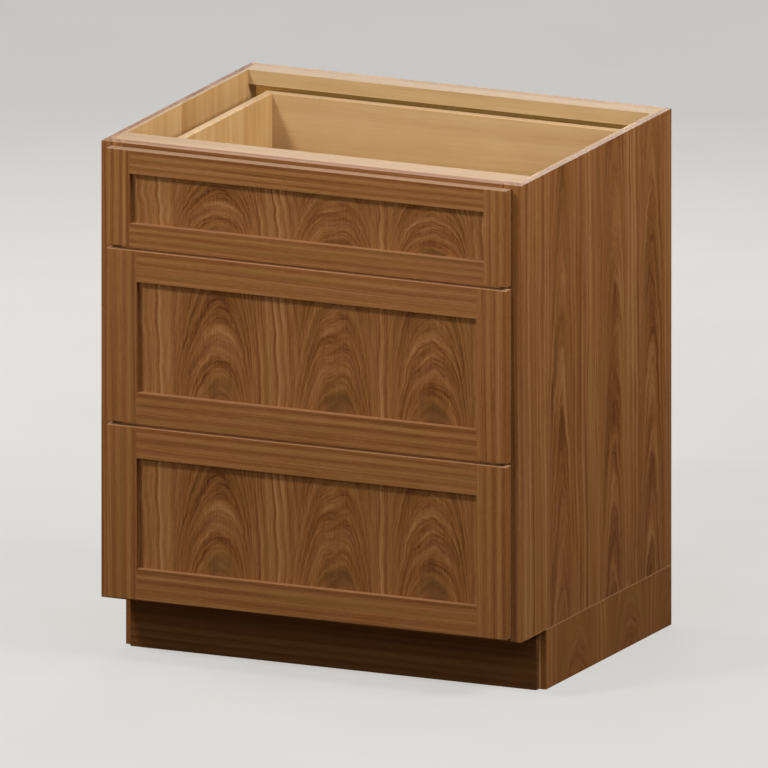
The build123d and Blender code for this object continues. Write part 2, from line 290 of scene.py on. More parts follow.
def straight_figure(f, u, w, v, seed, band, wander, lean, stripe, stripe_show, ribbon):
    """The stripes of straight grain, one about every stripe mm. With ribbon, a board's width, there are three
    pale ones across it instead, and the first is the palest.
    Returns (growth rings, fine lines, dark lines, ring)."""
    sway = f.noise(u / 120.0 + seed, w / 150.0, v / lean, detail=2.0)
    waver = f.noise(u / 24.0 + seed, w / 60.0, v / (lean * 0.35), detail=1.0)
    ring = u + sway * wander + waver * wander * 0.15 + w * 0.6 + v * 0.012
    aside = u / 70.0 + seed
    rings = f.noise(ring / band, aside, v / 900.0, detail=1.0, rough=0.55)
    lines = f.noise(ring / (band * 0.3), aside * 1.9 + 4.0, v / 500.0, detail=2.0, rough=0.6) * 0.75
    late = dark_line(f, ring / (band * 0.9) + 9.0, aside, v, 600.0, 0.04)
    if ribbon:
        palest = 0.6 + f.between(u, ribbon * 0.05, ribbon * 0.2) * 0.4
        beat = ((u + sway * 4.0) * (-6 * math.pi / ribbon)).sine() * palest
        return rings * 0.25 + beat * stripe_show, lines, late, ring
    beat = (ring * (2 * math.pi / stripe) + rings * 5.0 + seed).sine()
    return rings * 0.6 + beat * stripe_show, lines, late, ring


def arched_figure(f, u, w, v, seed, hearts, depth, taper, coarse, fine, fade, lift_by=50.0, wander=14.0,
                  stir=8.0, shake=7.0, steeper=1.18):
    """The arches that a flat-sawn board shows round each heart, where the saw cuts its rings along the grain.
    depth is how far the tree's middle lies behind the face, taper how fast the rings narrow along the grain,
    coarse and fine the width of a ring and of a line, and fade where the arches start and end to give way to
    straight grain. lift_by, wander, stir and shake are how far they shift along the grain, aside and in small
    ripples. steeper is how much closer the rings stand on a heart's right than on its left.
    Returns (near a heart, growth rings, fine lines, dark lines, ring, distance aside of the heart)."""
    bent = u + f.noise(u / 150.0 + seed, w / 150.0, v / 260.0, detail=1.0) * wander
    bent = bent + f.noise(u / 26.0 + seed, w / 60.0, v / 44.0, detail=2.0) * shake
    off = None
    for heart in hearts:
        aside = bent - heart
        flank = (aside * steeper).most(aside * (-1.0 / steeper))
        off = flank if off is None else off.least(flank)
    lift = f.noise(u / 60.0 + seed * 1.7, w / 90.0, seed, detail=1.0) * lift_by
    ripple = f.noise(u / 10.0, seed, v / 12.0, detail=1.0) * stir
    roam = f.noise(u / 30.0 + 5.0, seed, v / 50.0, detail=1.0) * stir * 2.6
    steep = off * (1.0 + off * off * 0.00008)
    deep = w + depth
    ring = (steep * steep + deep * deep).root() - depth + (v + lift + ripple + roam) * taper
    aside = u / 90.0 + seed
    rings = f.noise(ring / coarse, aside, v / 900.0, detail=2.0, rough=0.55) * 0.8
    lines = f.noise(ring / fine, aside * 1.9 + 4.0, v / 300.0, detail=3.0, rough=0.7) * 1.1
    late = dark_line(f, ring / (coarse * 0.45) + 9.0, aside, v, 360.0, 0.035)
    near = 1.0 - f.between(off, *fade)
    return near, rings, lines, late * 0.7, ring, off


def walnut_paint(f, across, depth, along, start, seed, band=7.0, wander=9.0, lean=380.0, stripe=15.0,
                 stripe_show=0.13, ribbon=None, line_show=0.9, contrast=1.0, fibre_show=0.3, arches=None,
                 eye=None, stain_or_shade=None, rub=None, top_pale=0.05, top_tone=(184, 138, 99), top_fade=0.0,
                 under_pale=0.0, squeeze=1.0):
    """Walnut. band, wander, lean, stripe and ribbon are the straight grain's measures in mm, and arches those
    of the arched figure, without which the grain is straight. eye is the height and half width of the dark
    wood inside the lowest arches. stain_or_shade is how far all of it turns towards another colour, and that
    colour: a tint of the wood on some boards, painted shade on others. rub is the height and half width
    of a painted light line. top_pale is how far what looks up is painted light towards top_tone, which fades
    by top_fade towards paler painted light at the back, where the top is in shade, and under_pale how far
    what looks down is painted light. squeeze is how much shorter the figure is along the grain.
    Returns (colour, roughness, height)."""
    u, w, v = board_place(f, across, depth, along, start)
    v = v * squeeze
    plain = straight_figure(f, u, w, v, seed, band, wander, lean, stripe, stripe_show, ribbon)
    rings, lines, late, ring = plain
    fibre = f.noise(u / 1.1, w / 3.0 + seed, v / 70.0, detail=2.0, rough=0.6)
    dark = None
    if arches:
        near, *arched, off = arched_figure(f, u, w, v, seed, **arches)
        rings, lines, late, ring = (f.mix_numbers(near, one, other) for one, other in zip(plain, arched))
        if eye:
            low_down = 1.0 - f.between(v + arched[0] * EYE_STIR, eye[0] * 0.5, eye[0])
            dark = low_down * (1.0 - f.between(off, eye[1] * 0.5, eye[1]))
    fleck = f.noise(u / 2.4, w / 4.0 + seed, v / 15.0, detail=3.0, rough=0.7)
    patches = f.between(f.noise(u / 40.0, seed + 8.0, v / 120.0, detail=1.0), -0.1, 0.15)
    figure = rings * 1.25 + lines * line_show + fibre * fibre_show + fleck * 0.4 - late * patches * 0.16
    shade = 0.5 + figure * contrast
    if arches:
        shade = shade + 0.09 - near * 0.2
    pores = f.between(f.noise(u / 0.42 + w / 0.42, seed, v / 7.0, detail=1.0), 0.13, 0.26)
    shade = shade - pores * 0.16
    colour = f.ramp(shade, *WALNUT_TONES)
    pink = f.between(f.noise(ring / (band * 1.1) + 31.0, seed, v / 500.0, detail=1.0), -0.02, 0.22)
    olive = f.between(f.noise(ring / (band * 1.4) + 67.0, seed, v / 420.0, detail=1.0), 0.0, 0.24)
    colour = f.mix(pink * 0.32, colour, tone(*PINK_WALNUT))
    colour = f.mix(olive * 0.5, colour, tone(*OLIVE_WALNUT))
    if dark is not None:
        colour = f.mix(dark * 0.5, colour, tone(*DARK_WALNUT))
    if stain_or_shade:
        colour = f.mix(stain_or_shade[0], colour, tone(*stain_or_shade[1]))
    # A painted light line on the rail, where it shows in shade through the gap between two fronts.
    if rub:
        line = 1.0 - f.between((f.place()[2] - rub[0]).size(), rub[1] * 0.6, rub[1] * 1.4)
        colour = f.mix(line * 0.95, colour, tone(*LIT_LINE_WALNUT))
    # Painted light: faces that look up are painted paler, the back of a front's top, in shade in the gap,
    # paler still, and faces that look down are painted paler too.
    edge = tone(*top_tone)
    if top_fade:
        edge = f.mix(f.between(w, -6.0, 6.0) * top_fade, edge, tone(*PAINTED_LIGHT_WALNUT))
    colour = f.mix(facing(f, "Z", 1) * top_pale, colour, edge)
    if under_pale:
        colour = f.mix(facing(f, "Z", -1) * under_pale, colour, tone(*PAINTED_LIGHT_WALNUT))
    roughness = 0.5 - shade.clamped() * 0.1 + pores * 0.12
    height = rings * 0.5 + fibre * 0.5 - pores * 0.9
    return colour, roughness, height


def maple_paint(f, across, depth, along, start, seed, plank=95.0, warm=0.0, leaf_show=0.42, line_show=0.3,
                arches=None, stain_or_shade=None, top_tone=(163, 129, 93), inside_pale=None):
    """Maple plywood. plank is the usual width of a leaf of its veneer, warm turns it towards honey, leaf_show
    is how much the leaves differ, and arches are the arched figure's measures. stain_or_shade is how far all
    of
    it turns towards another colour, and that colour. top_tone is the colour painted on faces that look up:
    painted shade, darker than the rest, on most boards, and painted light, paler, on the drawer boxes.
    inside_pale is how far what looks to the front is painted light towards a pale honey, in the shaded slot
    under the back stretcher, and the heights where that starts and is full.
    Returns (colour, roughness, height)."""
    u, w, v = board_place(f, across, depth, along, start)
    sway = f.noise(u / 200.0 + seed, w / 200.0, v / 500.0, detail=1.0)
    leaf = f.cells((u + w) / plank, seed)
    ring = u + w * 0.5 + sway * 18.0 + leaf * 40.0
    rings = f.noise(ring / 24.0, seed, v / 700.0 + leaf * 3.0, detail=2.0, rough=0.5)
    fibre = f.noise(ring / 1.1, seed + 2.0, v / 60.0, detail=2.0)
    cloud = f.noise(u / 60.0, w / 60.0 + seed, v / 90.0, detail=2.0)
    lines = f.noise(ring / 2.6, seed + 6.0, v / 380.0, detail=3.0, rough=0.65)
    late = dark_line(f, ring / 9.0 + 4.0, seed, v, 420.0, 0.035)
    if arches:
        near, *arched = arched_figure(f, u, w, v, seed, **arches)
        plain = (rings, lines, late)
        rings, lines, late = (f.mix_numbers(near, one, other) for one, other in zip(plain, arched))
    fleck = f.between(f.noise(u / 0.5 + w / 0.5, seed + 3.0, v / 5.0, detail=1.0), 0.16, 0.3)
    shade = 0.5 + (leaf - 0.5) * leaf_show + rings * 0.8 + fibre * 0.24 + cloud * 0.35
    shade = shade + lines * line_show - late * line_show * 0.3 - fleck * 0.1
    colour = f.ramp(shade, *MAPLE_TONES)
    pink = f.between(f.cells((u + w) / plank * 0.83, seed + 11.0), 0.45, 1.0)
    colour = f.mix(pink * 0.35, colour, tone(*PINK_MAPLE))
    if warm:
        colour = f.mix(warm, colour, f.ramp(shade, *WARM_MAPLE_TONES))
    if stain_or_shade:
        colour = f.mix(stain_or_shade[0], colour, tone(*stain_or_shade[1]))
    # Painted light and painted shade: faces that look up take top_tone, darker than the rest on most boards
    # and paler on the drawer boxes.
    if top_tone:
        darker, paler = (tuple(c * part for c in top_tone) for part in (0.92, 1.06))
        edge = f.ramp(shade, (0.0, darker), (1.0, paler))
        colour = f.mix(facing(f, "Z", 1) * 0.85, colour, edge)
    # Painted light: near its top, the back's inside face, in shade under the back stretcher, is painted pale
    # honey.
    if inside_pale:
        share, starts, full = inside_pale
        honey = facing(f, "Y", -1) * f.between(f.place()[2], starts, full) * share
        colour = f.mix(honey, colour, tone(*SLOT_LIGHT_HONEY))
    roughness = 0.48 - shade.clamped() * 0.06
    height = rings * 0.3 + fibre * 0.7
    return colour, roughness, height


def wood(name, paint, *place, **cut):
    """A material of one wood, from its paint."""
    f = Finish(name)
    colour, roughness, height = paint(f, *place, **cut)
    return f.surface(colour, roughness, f.bump(height, GRAIN_DEPTH), specular=WOOD_GLOSS)


PLINTH_TOP = 101.6             # mm above the floor, where the sides' two parts meet
# painted highlight: a pale line along the joint between a side's two parts
SEAM_HIGHLIGHT = (190, 146, 110)
WALNUT_SHARE = (0.62, 0.64)    # of a side's thickness, from its outer face: where it ends, and maple is full


def faced_panel(name, outside, thickness, walnut_cut, maple_cut):
    """A plywood side: walnut on the outside, which is at x = outside, and maple within."""
    f = Finish(name)
    x, y, z = f.place()
    inner = f.between((x - outside).size(), *(thickness * share for share in WALNUT_SHARE))
    dark = walnut_paint(f, *walnut_cut[0], **walnut_cut[1])
    pale = maple_paint(f, *maple_cut[0], **maple_cut[1])
    colour = f.mix(inner, dark[0], pale[0])
    # A painted highlight along the joint where the side meets the plinth's side, broken up by noise.
    seam = 1.0 - f.between((z - PLINTH_TOP).size(), 0.5, 1.3)
    patchy = f.between(f.noise(y / 3.0, outside), -0.3, 0.1) * 0.6
    colour = f.mix(seam * patchy, colour, tone(*SEAM_HIGHLIGHT))
    roughness = f.mix_numbers(inner, dark[1], pale[1])
    height = f.mix_numbers(inner, dark[2], pale[2])
    return f.surface(colour, roughness, f.bump(height, GRAIN_DEPTH), specular=WOOD_GLOSS)


# ---------------------------------------------------------------- slides
ZINC_TONES = ((0.0, (170, 173, 178)), (0.5, (194, 197, 200)), (1.0, (214, 214, 212)))
# painted shade: the dark of the slides' slots
SLOT_SHADE = (34, 33, 32)
MOULDING_TONES = ((0.0, (22, 22, 23)), (1.0, (44, 44, 46)))
SLOT_HALF_LENGTH, SLOT_RADIUS = 3.4, 2.0   # mm, up to the centre of a slot's round end, and that end's own
# Each member of a slide: where its first slot is from its front end, and how far apart the slots are, in mm.
SLOTS = (("outer", 44.0, 96.0), ("middle", 44.0, 160.0), ("inner", 60.0, 64.0))


def zinc_plate(name, slots=None):
    """Bright zinc plate. slots is where a slide's punched slots are: (height, first y, distance apart)."""
    f = Finish(name)
    x, y, z = f.place()
    drawn = f.noise(x / 0.7, y / 90.0, z / 0.7, detail=2.0)
    cloud = f.noise(x / 30.0, y / 45.0, z / 30.0, detail=3.0)
    scuff = f.between(f.noise(x / 4.0, y / 60.0, z / 1.2, detail=3.0), 0.08, 0.3)
    colour = f.ramp(0.5 + cloud * 1.2 + drawn * 0.3, *ZINC_TONES)
    roughness = 0.3 + cloud * 0.16 + drawn * 0.1 + scuff * 0.14
    metallic, height = 1.0, drawn + scuff * 0.5
    if slots:
        middle_z, first, apart = slots
        along = ((y - first).wrapped(-apart / 2, apart / 2).size() - SLOT_HALF_LENGTH).most(0.0)
        up = z - middle_z
        reach = (along * along + up * up).root()
        hole = 1.0 - f.between(reach, SLOT_RADIUS, SLOT_RADIUS + 0.5)
        rim = 1.0 - f.between((reach - (SLOT_RADIUS + 1.0)).size(), 0.2, 0.9)
        # The slots are painted, not cut: their dark is painted shade.
        colour = f.mix(hole, colour, tone(*SLOT_SHADE))
        roughness = f.mix_numbers(hole, roughness, 0.8)
        metallic, height = 1.0 - hole, height + rim * 4.0 - hole * 8.0
    return f.surface(colour, roughness, f.bump(height, 0.03), metallic=metallic)


def black_moulding():
    """The finely grained plastic of the release levers."""
    f = Finish("black_moulding")
    x, y, z = f.place()
    grain = f.noise(x / 0.35, y / 0.35, z / 0.35, detail=2.0)
    cloud = f.noise(x / 9.0, y / 9.0, z / 9.0, detail=2.0)
    colour = f.ramp(0.5 + cloud + grain * 0.5, *MOULDING_TONES)
    return f.surface(colour, 0.52 + grain * 0.2, f.bump(grain, 0.05))


# ---------------------------------------------------------------- boards
def mm_box(name):
    """A node's lowest and highest corner in millimetres."""
    return tuple([c * MM_PER_M for c in corner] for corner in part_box(name))


def dress(name, material):
    """Gives a node the material."""
    for slot in NODES[name].material_slots:
        slot.material = material


def middle(name):
    """A node's middle and its two corners in millimetres."""
    low, high = mm_box(name)
    return [(a + b) / 2 for a, b in zip(low, high)], low, high


def seed_of(name):
    """A steady number between 0 and 50 for a board, from its name's letters."""
    return sum((i + 3) * ord(c) for i, c in enumerate(name)) % 997 / 20.0


def dress_straight(name, along, paint=walnut_paint, **cut):
    """Straight grain along the named axis, on a board whose face looks along the thinnest of the others."""
    centre, low, high = middle(name)
    depth, across = sorted((a for a in "XYZ" if a != along), key=lambda a: high[AXES[a]] - low[AXES[a]])
    start = [centre[AXES[across]], centre[AXES[depth]], low[AXES[along]]]
    dress(name, wood(name + "_wood", paint, across, depth, along, start, seed_of(name), **cut))


# How each board is cut and finished, as its paint's own measures.
STRAIGHT = {"contrast": 1.1}
RAIL = STRAIGHT | {"stripe": 10.5, "stripe_show": 0.15}
FRONT = STRAIGHT | {"stripe_show": 0.135}
# The top rail is painted darker, painted shade for its narrow face above the top drawer, and its top paler,
# painted light.
TOP_RAIL = STRAIGHT | {"stain_or_shade": (0.4, (98, 62, 40)), "top_pale": 0.2, "top_tone": (200, 140, 84)}
FLAT_SAWN = {"depth": 120.0, "taper": 0.167, "coarse": 4.2, "fine": 1.1, "fade": (50.0, 98.0)}
RUSSET = (127, 71, 21)
PANEL = {
    "band": 8.0, "wander": 30.0, "lean": 160.0, "contrast": 1.25, "fibre_show": 0.45, "eye": (60.0, 26.0),
    "arches": FLAT_SAWN | {"hearts": (-160.0, 56.0, 233.0)},
}
PANEL_SEED = 7.3
SHALLOW_SQUEEZE = 2.2          # brings all the figure into the top drawer's shallow panel
SIDE = {
    "band": 15.0, "wander": 34.0, "contrast": 1.9, "stripe_show": 0.045, "line_show": 0.62,
    "stain_or_shade": (0.16, RUSSET),
    "arches": {"hearts": (-125.0, 85.0, 235.0), "depth": 60.0, "taper": 0.05, "coarse": 4.0, "fine": 1.9,
               "fade": (26.0, 60.0), "wander": 24.0, "lift_by": 260.0, "stir": 30.0},
}
SIDE_INSIDE = {"plank": 62.0, "warm": 0.6, "leaf_show": 0.8}
PLINTH = {
    "band": 8.0, "wander": 24.0, "lean": 200.0, "stain_or_shade": (0.25, RUSSET),
    "arches": FLAT_SAWN | {"hearts": (-60.0, 150.0, 330.0)},
}
BACK = {
    # Painted light in the shaded slot under the back stretcher, on the back's inside face.
    "warm": 1.0, "line_show": 0.5, "inside_pale": (0.9, 806.0, 834.0),
    "arches": {"hearts": (-250.0, 20.0, 262.0), "depth": 90.0, "taper": 0.07, "coarse": 6.5, "fine": 2.4,
               "fade": (60.0, 125.0), "wander": 30.0, "lift_by": 220.0, "stir": 26.0},
}
# Painted light: the drawer boxes' top edges are painted paler than their sides.
BOX_TOP = (206, 172, 132)
BOX_SIDE = {"plank": 62.0, "warm": 0.5, "top_tone": BOX_TOP}
BOX_END = {"plank": 120.0, "stain_or_shade": (0.12, (206, 178, 136)), "top_tone": BOX_TOP}
BOX_BOTTOM = {"plank": 120.0, "top_tone": None}
# The toe board is painted darker: painted shade under the cabinet's overhang.
TOE = {"stain_or_shade": (0.7, (76, 45, 22))}


def dress_cabinet():
    """The case, the face frame and the plinth."""
    for side, outside, top_pale in (("left", -1, 0.1), ("right", 1, 0.5)):
        # Painted light: each side's top edge is painted paler, more on the right than on the left.
        edge = {"top_pale": top_pale, "top_tone": (172, 146, 128)}
        for name, cut in ((f"{side}_side_panel", SIDE | edge), (f"plinth_{side}_side", PLINTH)):
            low, high = mm_box(name)
            face = low[0] if outside < 0 else high[0]
            walnut_cut = (("Y", "X", "Z", [0.0, face, low[2]], seed_of(name)), cut)
            maple_cut = (("Y", "X", "Z", [0.0, 0.0, low[2]], seed_of(name) + 5.0), SIDE_INSIDE)
            dress(name, faced_panel(name + "_wood", face, high[0] - low[0], walnut_cut, maple_cut))
    for name in ("frame_left_stile", "frame_right_stile"):
        dress_straight(name, "Z", **STRAIGHT)
    dress_straight("frame_top_rail", "X", **TOP_RAIL)
    dress_straight("frame_bottom_rail", "X", **RAIL)
    dress_straight("toe_kick_board", "X", **TOE)
    for name, front_below in (("frame_upper_rail", "middle"), ("frame_lower_rail", "bottom")):
        front_top = mm_box(f"{front_below}_drawer_front_upper_rail")[1][2]
        dress_straight(name, "X", rub=(front_top + 1.0, 1.5), **RAIL)   # painted light: a pale line where the rail shows through the gap above the front below it
    for name in ("front_stretcher", "plinth_front_rail", "plinth_back_rail"):
        dress_straight(name, "X", maple_paint)
    # Painted shade: the back stretcher's top is painted darker than its front.
    dress_straight("back_stretcher", "X", maple_paint, top_tone=(169, 140, 108))
    dress_straight("deck_panel", "X", maple_paint, top_tone=None)
    dress_straight("back_panel", "Z", maple_paint, **BACK)
    dress_straight("slide_cleats", "Y", maple_paint)


def dress_drawer(drawer):
    """A drawer's front and its box."""
    front = f"{drawer}_drawer_front_"
    # Painted light on the fronts: faces that look up are painted paler, paler at the back where they are in
    # shade, and the lower rail's faces that look down are painted paler too.
    edge = {"top_pale": 0.85, "top_fade": 0.8}
    if drawer == DRAWERS[0]:
        edge = {"top_pale": 0.45, "top_tone": (183, 156, 133)}
    for part, along, rubbed in (
        ("left_stile", "Z", edge), ("right_stile", "Z", edge), ("upper_rail", "X", edge),
        ("lower_rail", "X", {"top_pale": 0.4, "under_pale": 0.9}),
    ):
        low, high = mm_box(front + part)
        across = AXES["X" if along == "Z" else "Z"]
        dress_straight(front + part, along, **rubbed, **FRONT, ribbon=high[across] - low[across])
    panel = front + "panel"
    low, high = mm_box(panel)
    squeeze = SHALLOW_SQUEEZE if drawer == DRAWERS[0] else 1.0
    dress(panel, wood(panel + "_wood", walnut_paint, "X", "Y", "Z", [0.0, low[1], low[2]], PANEL_SEED,
                      squeeze=squeeze, **PANEL))
    for part, along, cut in (
        ("left_side", "Z", BOX_SIDE), ("right_side", "Z", BOX_SIDE),
        ("front", "X", BOX_END), ("back", "X", BOX_END), ("bottom", "X", BOX_BOTTOM),
    ):
        dress_straight(f"{drawer}_drawer_box_{part}", along, maple_paint, **cut)


# ---------------------------------------------------------------- screws and staples
class Tree:
    """A Geometry Nodes tree with named inputs, given as (name, kind of socket, value)."""

    def __init__(self, name, inputs):
        self.tree = bpy.data.node_groups.new(name, "GeometryNodeTree")
        self.tree.is_modifier = True
        self.keys = {}
        self.tree.interface.new_socket("Geometry", in_out="INPUT", socket_type="NodeSocketGeometry")
        for label, kind, value in inputs:
            socket = self.tree.interface.new_socket(label, in_out="INPUT", socket_type="NodeSocket" + kind)
            if value is not None:
                socket.default_value = value
            self.keys[label] = socket.identifier
        self.tree.interface.new_socket("Geometry", in_out="OUTPUT", socket_type="NodeSocketGeometry")
        self.start, self.end = self.tree.nodes.new("NodeGroupInput"), self.tree.nodes.new("NodeGroupOutput")

    def node(self, kind, settings=None, sockets=None):
        """A node of this kind. A list on a socket links each of its members."""
        made = self.tree.nodes.new(kind)
        for key, value in (settings or {}).items():
            setattr(made, key, value)
        for key, value in (sockets or {}).items():
            for one in value if isinstance(value, list) else [value]:
                if isinstance(one, bpy.types.NodeSocket):
                    self.tree.links.new(one, made.inputs[key])
                else:
                    made.inputs[key].default_value = one
        return made

    def given(self, label):
        """A named input, inside the tree."""
        return self.start.outputs[label]

    def finish(self, instances):
        """Ends the tree in plain geometry of the given material."""
        real = self.node("GeometryNodeRealizeInstances", {}, {0: instances})
        painted = self.node("GeometryNodeSetMaterial", {},
                            {"Geometry": real.outputs[0], "Material": self.given("Finish")})
        self.tree.links.new(painted.outputs[0], self.end.inputs[0])


def facing_turn(t):
    """Each point's own facing, with a turn about it from the fixed seed."""
    facing = t.node("GeometryNodeInputNamedAttribute", {"data_type": "FLOAT_VECTOR"}, {"Name": "facing"})
    stand = t.node("FunctionNodeAlignRotationToVector", {"axis": "Z"}, {"Vector": facing.outputs[0]})
    chance = t.node("FunctionNodeRandomValue", {"data_type": "FLOAT"},
                    {"Max": 2 * math.pi, "Seed": t.given("Seed")})
    spin = t.node("FunctionNodeAxisAngleToRotation", {},
                  {"Axis": (0.0, 0.0, 1.0), "Angle": chance.outputs["Value"]})
    return t.node("FunctionNodeRotateRotation", {"rotation_space": "LOCAL"},
                  {"Rotation": stand.outputs[0], "Rotate By": spin.outputs[0]}).outputs[0]


# A screw head's cross slot, in parts of the head's radius: how long and wide it is, and how high its cutter.
CROSS_LENGTH, CROSS_WIDTH, CUTTER_HEIGHT = 1.05, 0.24, 1.2
SHARP_EDGE = 0.6               # radians
STAPLE_LEAN = 0.12             # radians from upright, either way


def screw_tree():
    """A domed head with a cross slot on each point. Only the head shows, and its lower half is in the board.
    The head is made 1 high and 1 in radius, and then scaled."""
    t = Tree("screw_heads", [
        ("Head Width", "Float", 0.008), ("Head Height", "Float", 0.002), ("Slot Depth", "Float", 0.55),
        ("Seed", "Int", 3), ("Finish", "Material", None),
    ])
    dome = t.node("GeometryNodeMeshUVSphere", {}, {"Segments": 24, "Rings": 12, "Radius": 1.0})
    rim = t.node("GeometryNodeMeshCylinder", {}, {"Vertices": 24, "Radius": 1.0, "Depth": 0.5})
    top = t.node("ShaderNodeMath", {"operation": "SUBTRACT"},
                 {0: 1.0 + CUTTER_HEIGHT / 2, 1: t.given("Slot Depth")})
    middle = t.node("ShaderNodeCombineXYZ", {}, {"Z": top.outputs[0]})
    blades = []
    for size in ((CROSS_LENGTH, CROSS_WIDTH, CUTTER_HEIGHT), (CROSS_WIDTH, CROSS_LENGTH, CUTTER_HEIGHT)):
        blade = t.node("GeometryNodeMeshCube", {}, {"Size": size})
        blades.append(t.node("GeometryNodeTransform", {},
                             {0: blade.outputs[0], "Translation": middle.outputs[0]}))
    cut = t.node("GeometryNodeMeshBoolean", {"operation": "DIFFERENCE", "solver": "EXACT"},
                 {0: dome.outputs[0], 1: [b.outputs[0] for b in blades]})
    head = t.node("GeometryNodeJoinGeometry", {}, {0: [cut.outputs[0], rim.outputs[0]]})
    angle = t.node("GeometryNodeInputMeshEdgeAngle")
    crease = t.node("ShaderNodeMath", {"operation": "GREATER_THAN"}, {0: angle.outputs[0], 1: SHARP_EDGE})
    smooth = t.node("GeometryNodeSetShadeSmooth", {"domain": "FACE"},
                    {0: head.outputs[0], "Shade Smooth": True})
    creased = t.node("GeometryNodeSetShadeSmooth", {"domain": "EDGE"},
                     {0: smooth.outputs[0], "Selection": crease.outputs[0], "Shade Smooth": False})
    half = t.node("ShaderNodeMath", {"operation": "MULTIPLY"}, {0: t.given("Head Width"), 1: 0.5})
    size = t.node("ShaderNodeCombineXYZ", {},
                  {0: half.outputs[0], 1: half.outputs[0], 2: t.given("Head Height")})
    placed = t.node("GeometryNodeInstanceOnPoints", {}, {
        "Points": t.start.outputs[0], "Instance": creased.outputs[0], "Rotation": facing_turn(t),
        "Scale": size.outputs[0],
    })
    t.finish(placed.outputs[0])
    return t


def staple_tree():
    """A staple's crown, a round wire half sunk in the board, on each point and upright."""
    t = Tree("staple_crowns", [
        ("Crown Width", "Float", 0.0065), ("Wire Width", "Float", 0.0011), ("Seed", "Int", 5),
        ("Finish", "Material", None),
    ])
    half = t.node("ShaderNodeMath", {"operation": "MULTIPLY"}, {0: t.given("Crown Width"), 1: 0.5})
    back = t.node("ShaderNodeMath", {"operation": "MULTIPLY"}, {0: half.outputs[0], 1: -1.0})
    ends = [t.node("ShaderNodeCombineXYZ", {}, {2: side.outputs[0]}) for side in (back, half)]
    wire = t.node("GeometryNodeCurvePrimitiveLine", {},
                  {"Start": ends[0].outputs[0], "End": ends[1].outputs[0]})
    thick = t.node("ShaderNodeMath", {"operation": "MULTIPLY"}, {0: t.given("Wire Width"), 1: 0.5})
    round_wire = t.node("GeometryNodeCurvePrimitiveCircle", {},
                        {"Resolution": 10, "Radius": thick.outputs[0]})
    crown = t.node("GeometryNodeCurveToMesh", {},
                   {"Curve": wire.outputs[0], "Profile Curve": round_wire.outputs[0], "Fill Caps": True})
    chance = t.node("FunctionNodeRandomValue", {"data_type": "FLOAT"},
                    {"Min": -STAPLE_LEAN, "Max": STAPLE_LEAN, "Seed": t.given("Seed")})
    lean = t.node("FunctionNodeAxisAngleToRotation", {},
                  {"Axis": (0.0, 1.0, 0.0), "Angle": chance.outputs["Value"]})
    placed = t.node("GeometryNodeInstanceOnPoints", {}, {
        "Points": t.start.outputs[0], "Instance": crown.outputs[0], "Rotation": lean.outputs[0],
    })
    t.finish(placed.outputs[0])
    return t


def fasten(name, tree, body, places, **sizes):
    """Puts the tree's fastener at each (place in mm, facing), as one plain mesh that moves with the body."""
    mesh = bpy.data.meshes.new(name + "_places")
    mesh.from_pydata([[c / MM_PER_M for c in place] for place, _ in places], [], [])
    facing = mesh.attributes.new("facing", "FLOAT_VECTOR", "POINT")
    for one, (_, way) in zip(facing.data, places):
        one.vector = way
    points = bpy.data.objects.new(name + "_places", mesh)
    bpy.context.scene.collection.objects.link(points)
    modifier = points.modifiers.new("fasteners", "NODES")
    modifier.node_group = tree.tree
    for label, value in sizes.items():
        modifier[tree.keys[label.replace("_", " ").title()]] = value
    made = bpy.data.meshes.new_from_object(points.evaluated_get(bpy.context.evaluated_depsgraph_get()))
    made.name = name
    made.materials.clear()
    made.materials.append(sizes["finish"])
    made.polygons.foreach_set("material_index", [0] * len(made.polygons))
    points.modifiers.remove(modifier)
    bpy.data.objects.remove(points)
    piece = bpy.data.objects.new(name, made)
    bpy.context.scene.collection.objects.link(piece)
    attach(piece, body)


# Where fasteners are, in mm: from a board's edge, along a slide from its front end, or across the back.
FRONT_SCREW_FROM_END, FRONT_SCREW_UP, FRONT_SCREW_DOWN = 80.0, 34.0, 26.0
SLIDE_SCREWS_ALONG = (28.0, 156.0, 220.0, 412.0, 476.0)
SLIDE_WEB = 1.2                # the inner member's thickness, on the drawer's side
BACK_SCREWS_ACROSS = (-320.0, -160.0, 0.0, 160.0, 320.0)
STAPLES, STAPLE_FROM_EDGE, FIRST_STAPLE_UP, STAPLES_APART = 9, 3.0, 75.0, 78.0
BACKWARDS = (0.0, 1.0, 0.0)
FRONT_HEAD_SUNK, BACK_HEAD_SUNK, CROWN_RAISED = 0.2, 0.3, 0.1


def fasten_drawer(drawer, screws, finish):
    """The screws that hold a drawer's front, and those that hold its slides."""
    low, high = mm_box(f"{drawer}_drawer_box_front")
    across = high[0] - FRONT_SCREW_FROM_END
    heads = [((x, high[1] - FRONT_HEAD_SUNK, z), BACKWARDS)
             for x in (-across, across) for z in (low[2] + FRONT_SCREW_UP, high[2] - FRONT_SCREW_DOWN)]
    fasten(f"{drawer}_drawer_front_screws", screws, f"{drawer}_drawer", heads, head_width=0.0086,
           head_height=0.0024, finish=finish)
    centre, low, high = middle(f"{drawer}_drawer_slide_inner_members")
    web = mm_box(f"{drawer}_drawer_box_right_side")[1][0] + SLIDE_WEB
    heads = [((side * web, low[1] + along, centre[2]), (float(side), 0.0, 0.0))
             for side in (-1, 1) for along in SLIDE_SCREWS_ALONG]
    fasten(f"{drawer}_drawer_slide_screws", screws, f"{drawer}_drawer", heads, head_width=0.0074,
           head_height=0.0013, finish=finish)


